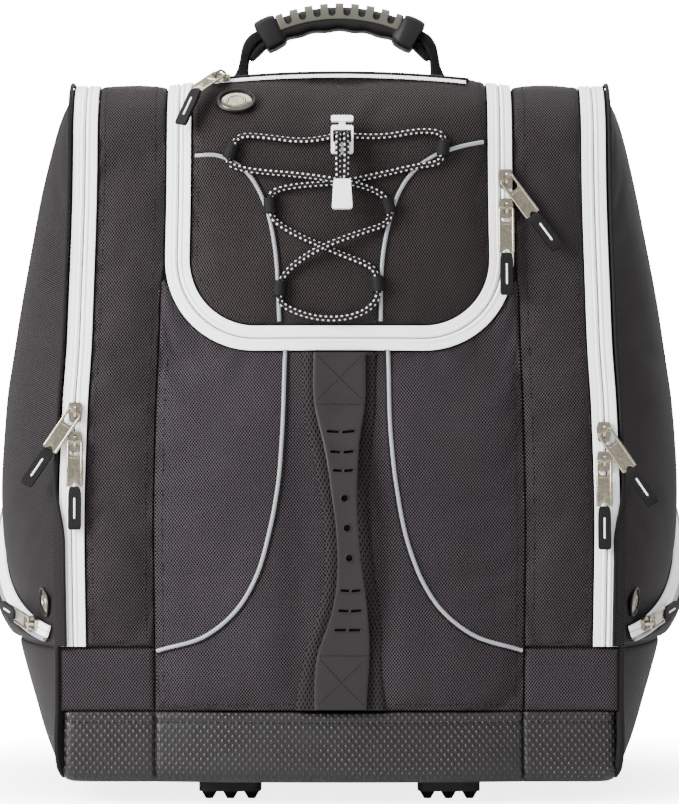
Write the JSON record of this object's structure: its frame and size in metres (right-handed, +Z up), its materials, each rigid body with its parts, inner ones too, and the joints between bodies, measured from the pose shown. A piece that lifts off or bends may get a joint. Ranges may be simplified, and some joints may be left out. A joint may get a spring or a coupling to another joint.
{
  "type": "ski boot bag",
  "caption": "Wedge-shaped backpack for ski boots with a zipped lid, a drop-down boot door on each side, shoulder straps, a laced lid and a grab handle.",
  "frame": {"origin": "centre of the bounding box's bottom face, on the ground under the bag's rubber feet", "axes": "+Z up; the laced front faces -Y, the back with its shoulder straps faces +Y; +X is to the right of someone facing the front"},
  "size_m": [0.4454, 0.3784, 0.506],
  "materials": {
    "pack_fabric": "matt ripstop weave",
    "side_fabric": "matt twill",
    "coated_base": "coated tarpaulin, satin",
    "board": "matt",
    "zip_tape": "coated white tape, satin",
    "black_piping": "matt",
    "reflective_piping": "satin",
    "webbing": "matt webbing",
    "strap_pad": "matt",
    "spacer_mesh": "matt mesh",
    "moulded_rubber": "matt",
    "grip_rubber": "matt",
    "grip_inlay": "matt",
    "buckle_plastic": "matt",
    "white_plastic": "satin",
    "bungee_cord": "braided, speckled",
    "nickel": "satin nickel"
  },
  "bodies": {
    "bag": {"base_tub": "coated_base", "base_board": "board", "rubber_feet": "moulded_rubber", "dividers": "board", "lower_corner_panels": "pack_fabric", "front_panel": "pack_fabric", "gusset_panels": "pack_fabric", "top_panel": "pack_fabric", "back_panel": "pack_fabric", "back_pads": "spacer_mesh", "shoulder_straps": "strap_pad", "strap_webbing": "webbing", "ladder_locks": "buckle_plastic", "handle_anchors": "webbing", "side_walls": "side_fabric", "boot_zip_tapes": "zip_tape", "lid_zip_frame": "zip_tape", "front_piping": "reflective_piping", "carry_strap": "moulded_rubber", "carry_strap_mesh": "spacer_mesh"},
    "lid": {"lid_panel": "pack_fabric", "lid_zip_flap": "zip_tape", "lid_pocket_zip": "zip_tape", "lid_piping": "reflective_piping", "cord_loops": "webbing", "lacing_cord": "bungee_cord", "cord_lock": "white_plastic", "cord_end": "white_plastic"},
    "cord_lock_button": {"cord_lock_button": "white_plastic"},
    "door_left": {"door_left": "side_fabric", "door_zip_tape_left": "zip_tape", "door_piping_left": "black_piping", "side_pocket_left": "side_fabric", "side_pocket_zip_left": "zip_tape"},
    "door_right": {"door_right": "side_fabric", "door_zip_tape_right": "zip_tape", "door_piping_right": "black_piping", "side_pocket_right": "side_fabric", "side_pocket_zip_right": "zip_tape"},
    "top_handle": {"handle_webbing": "webbing", "handle_grip": "grip_rubber", "handle_inlay": "grip_inlay"},
    "boot_left_upper_slider": {"boot_left_upper_slider": "nickel"},
    "boot_left_upper_pull": {"boot_left_upper_pull": "nickel"},
    "boot_left_lower_slider": {"boot_left_lower_slider": "nickel"},
    "boot_left_lower_pull": {"boot_left_lower_pull": "nickel"},
    "boot_right_upper_slider": {"boot_right_upper_slider": "nickel"},
    "boot_right_upper_pull": {"boot_right_upper_pull": "nickel"},
    "boot_right_lower_slider": {"boot_right_lower_slider": "nickel"},
    "boot_right_lower_pull": {"boot_right_lower_pull": "nickel"},
    "lid_upper_slider": {"lid_upper_slider": "nickel"},
    "lid_upper_pull": {"lid_upper_pull": "nickel"},
    "lid_lower_slider": {"lid_lower_slider": "nickel"},
    "lid_lower_pull": {"lid_lower_pull": "nickel"},
    "lid_pocket_slider": {"lid_pocket_slider": "nickel"},
    "lid_pocket_pull": {"lid_pocket_pull": "nickel"},
    "side_pocket_right_slider": {"side_pocket_right_slider": "nickel"},
    "side_pocket_right_pull": {"side_pocket_right_pull": "nickel"},
    "side_pocket_left_slider": {"side_pocket_left_slider": "nickel"},
    "side_pocket_left_pull": {"side_pocket_left_pull": "nickel"}
  },
  "joints": [
    {"name": "lid_hinge", "type": "hinge", "parent": "bag", "child": "lid", "pos_m": [0, 0.028, 0.449], "axis": [-1, 0, 0], "range_deg": [0, 95]},
    {"name": "door_left_hinge", "type": "hinge", "parent": "bag", "child": "door_left", "pos_m": [-0.2135, 0, 0.0938], "axis": [0, -1, 0], "range_deg": [0, 90]},
    {"name": "door_right_hinge", "type": "hinge", "parent": "bag", "child": "door_right", "pos_m": [0.2135, 0, 0.0938], "axis": [0, 1, 0], "range_deg": [0, 90]},
    {"name": "top_handle_fold", "type": "hinge", "parent": "bag", "child": "top_handle", "pos_m": [0, 0.062, 0.4525], "axis": [-1, 0, 0], "range_deg": [-60, 60], "stiffness_Nm_per_rad": 0.15},
    {"name": "cord_lock_press", "type": "slide", "parent": "lid", "child": "cord_lock_button", "axis": [0, -0.0854, -0.9963], "range_m": [0, 0.002], "stiffness_N_per_m": 300},
    {"name": "boot_left_upper_slider_travel", "type": "slide", "parent": "door_left", "child": "boot_left_upper_slider", "axis": [0, 0.0854, 0.9963], "range_m": [0, 0.155]},
    {"name": "boot_left_upper_pull_swing", "type": "hinge", "parent": "boot_left_upper_slider", "child": "boot_left_upper_pull", "pos_m": [-0.1616, -0.16138, 0.23743], "axis": [-0.829, 0.0478, 0.5571], "range_deg": [0, 110]},
    {"name": "boot_left_lower_slider_travel", "type": "slide", "parent": "door_left", "child": "boot_left_lower_slider", "axis": [0, 0.0854, 0.9963], "range_m": [-0.112, 0]},
    {"name": "boot_left_lower_pull_swing", "type": "hinge", "parent": "boot_left_lower_slider", "child": "boot_left_lower_pull", "pos_m": [-0.1616, -0.16292, 0.21943], "axis": [-1, 0, 0], "range_deg": [0, 110]},
    {"name": "boot_right_upper_slider_travel", "type": "slide", "parent": "door_right", "child": "boot_right_upper_slider", "axis": [0, 0.0854, 0.9963], "range_m": [0, 0.165]},
    {"name": "boot_right_upper_pull_swing", "type": "hinge", "parent": "boot_right_upper_slider", "child": "boot_right_upper_pull", "pos_m": [0.1616, -0.16241, 0.22543], "axis": [-0.829, -0.0478, -0.5571], "range_deg": [0, 110]},
    {"name": "boot_right_lower_slider_travel", "type": "slide", "parent": "door_right", "child": "boot_right_lower_slider", "axis": [0, 0.0854, 0.9963], "range_m": [-0.1, 0]},
    {"name": "boot_right_lower_pull_swing", "type": "hinge", "parent": "boot_right_lower_slider", "child": "boot_right_lower_pull", "pos_m": [0.1616, -0.16395, 0.20743], "axis": [-1, 0, 0], "range_deg": [0, 110]},
    {"name": "lid_upper_slider_travel", "type": "slide", "parent": "lid", "child": "lid_upper_slider", "axis": [0, 0.0854, 0.9963], "range_m": [0, 0.014]},
    {"name": "lid_upper_pull_swing", "type": "hinge", "parent": "lid_upper_slider", "child": "lid_upper_pull", "pos_m": [0.10228, -0.15047, 0.38054], "axis": [-0.807, -0.1064, -0.5808], "range_deg": [0, 110]},
    {"name": "lid_lower_slider_travel", "type": "slide", "parent": "lid", "child": "lid_lower_slider", "axis": [0, 0.0854, 0.9963], "range_m": [-0.026, 0]},
    {"name": "lid_lower_pull_swing", "type": "hinge", "parent": "lid_lower_slider", "child": "lid_lower_pull", "pos_m": [0.10228, -0.15202, 0.36254], "axis": [-0.9976, -0.0695, 0.006], "range_deg": [0, 110]},
    {"name": "lid_pocket_slider_travel", "type": "hinge", "parent": "lid", "child": "lid_pocket_slider", "pos_m": [0, 0.17493, -0.28612], "axis": [0, 0.9272, 0.3746], "range_deg": [0, 10.6]},
    {"name": "lid_pocket_pull_swing", "type": "hinge", "parent": "lid_pocket_slider", "child": "lid_pocket_pull", "pos_m": [-0.074, -0.12131, 0.44712], "axis": [-0.866, 0.4636, 0.1873], "range_deg": [0, 110]},
    {"name": "side_pocket_right_slider_travel", "type": "slide", "parent": "door_right", "child": "side_pocket_right_slider", "axis": [0.3606, 0.921, 0.1474], "range_m": [0, 0.012]},
    {"name": "side_pocket_right_pull_swing", "type": "hinge", "parent": "side_pocket_right_slider", "child": "side_pocket_right_pull", "pos_m": [0.19083, -0.14145, 0.10748], "axis": [0.0483, 0.1394, -0.9891], "range_deg": [0, 110]},
    {"name": "side_pocket_left_slider_travel", "type": "slide", "parent": "door_left", "child": "side_pocket_left_slider", "axis": [-0.3606, 0.921, 0.1474], "range_m": [0, 0.012]},
    {"name": "side_pocket_left_pull_swing", "type": "hinge", "parent": "side_pocket_left_slider", "child": "side_pocket_left_pull", "pos_m": [-0.19083, -0.14145, 0.10748], "axis": [0.0483, -0.1394, 0.9891], "range_deg": [0, 110]}
  ]
}
